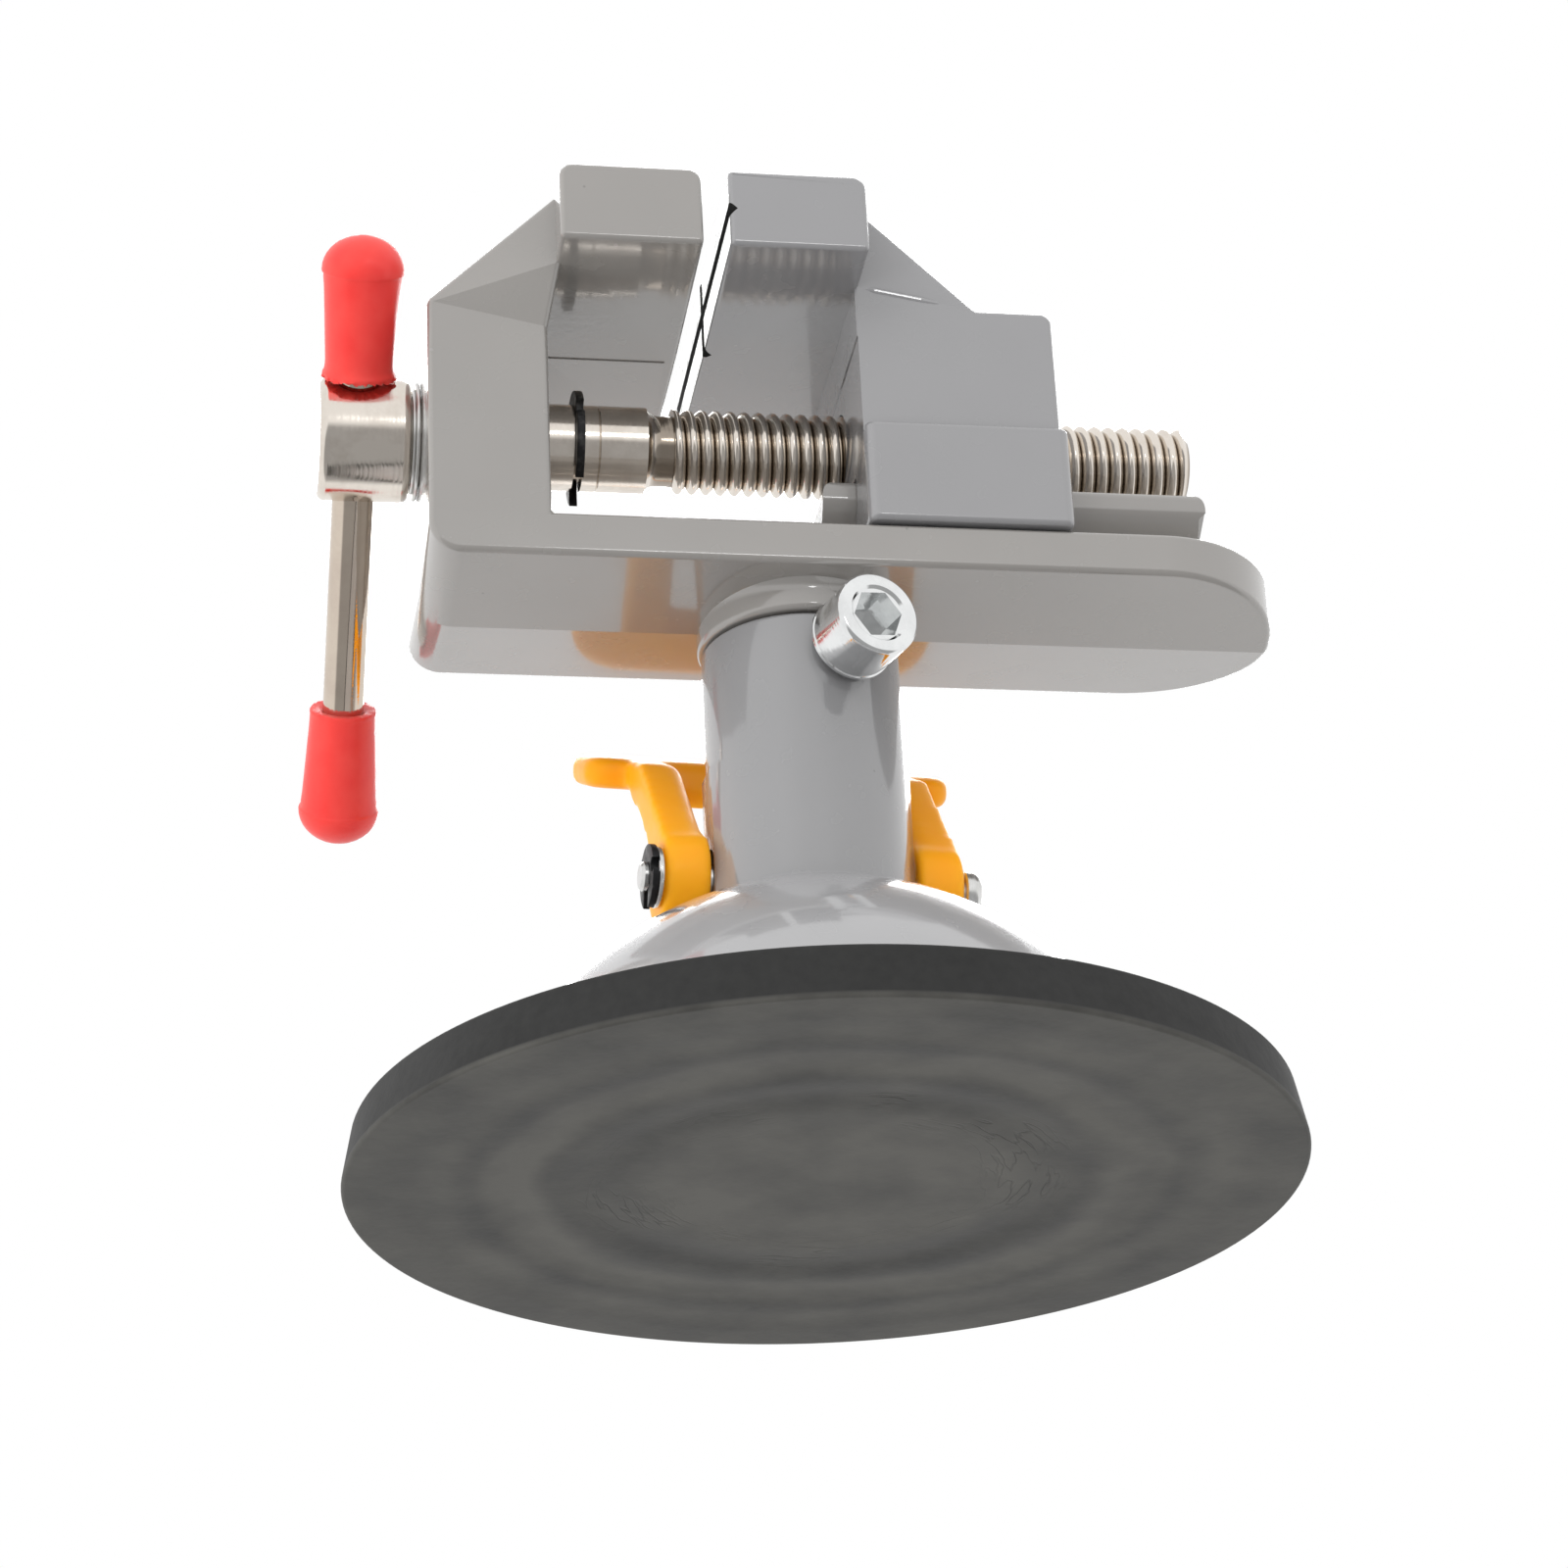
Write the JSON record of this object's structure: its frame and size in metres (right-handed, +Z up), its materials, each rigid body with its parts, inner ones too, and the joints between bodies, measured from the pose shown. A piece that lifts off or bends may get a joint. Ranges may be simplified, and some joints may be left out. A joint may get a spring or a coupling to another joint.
{
  "type": "suction base mini vise",
  "caption": "Small bench vise on a round rubber suction base, with a swivel head, a sliding jaw on a screw with a capped cross bar, and an orange locking lever.",
  "frame": {"origin": "centre of the suction pad's underside, on the bench", "axes": "+Z up along the column; +X along the vise, with the screw's handle at -X; the operator's near side is -Y"},
  "size_m": [0.106, 0.1, 0.1101],
  "materials": {
    "rubber_black": "matt moulded rubber",
    "grey_paint": "satin grey paint on a casting",
    "grey_paint_cool": "satin grey paint on a casting, bare machined grip face",
    "steel_plain": "turned steel",
    "orange_plastic": "glossy, slightly clear plastic",
    "bright_steel": "bright zinc plate",
    "black_steel": "black oxide spring steel",
    "chrome_screw": "polished",
    "nickel_screw": "bright nickel plate, slightly warm",
    "red_plastic": "soft glossy plastic"
  },
  "bodies": {
    "base": {"suction_pad": "rubber_black", "base_housing": "grey_paint"},
    "plunger": {"plunger": "steel_plain", "lever_pin": "bright_steel", "lever_pin_washer": "bright_steel", "lever_pin_clip": "black_steel"},
    "lever": {"lever": "orange_plastic"},
    "lock_screw": {"lock_screw": "chrome_screw"},
    "head": {"vise_body": "grey_paint"},
    "jaw": {"moving_jaw": "grey_paint_cool"},
    "screw": {"lead_screw": "nickel_screw", "screw_washer_outer": "bright_steel", "screw_washer_inner": "bright_steel", "screw_clip": "black_steel"},
    "handle": {"handle_bar": "nickel_screw", "handle_cap_upper": "red_plastic", "handle_cap_lower": "red_plastic"}
  },
  "joints": [
    {"name": "head_swivel", "type": "hinge", "parent": "base", "child": "head", "pos_m": [0, 0, 0.0621], "axis": [0, 0, 1], "continuous": true},
    {"name": "screw_turn", "type": "hinge", "parent": "head", "child": "screw", "pos_m": [0, 0, 0.08725], "axis": [1, 0, 0], "range_deg": [-3380, 590]},
    {"name": "jaw_slide", "type": "slide", "parent": "head", "child": "jaw", "axis": [1, 0, 0], "range_m": [-0.0026, 0.015]},
    {"name": "bar_slide", "type": "slide", "parent": "screw", "child": "handle", "axis": [0, -0.7071, 0.7071], "range_m": [0, 0.0241]},
    {"name": "lever_turn", "type": "hinge", "parent": "plunger", "child": "lever", "pos_m": [0, 0, 0.0343], "axis": [0.9969, 0.0785, 0], "range_deg": [-42.2, 0]},
    {"name": "plunger_lift", "type": "slide", "parent": "base", "child": "plunger", "axis": [0, 0, 1], "range_m": [0, 0.0016]},
    {"name": "lock_turn", "type": "hinge", "parent": "base", "child": "lock_screw", "pos_m": [0, 0, 0.0581], "axis": [0.3007, -0.9537, 0], "range_deg": [0, 540]}
  ],
  "couplings": [
    {"joint": "screw_turn", "follows": "jaw_slide", "rad_per_m": -3927},
    {"joint": "lever_turn", "follows": "plunger_lift", "rad_per_m": -458.15}
  ]
}
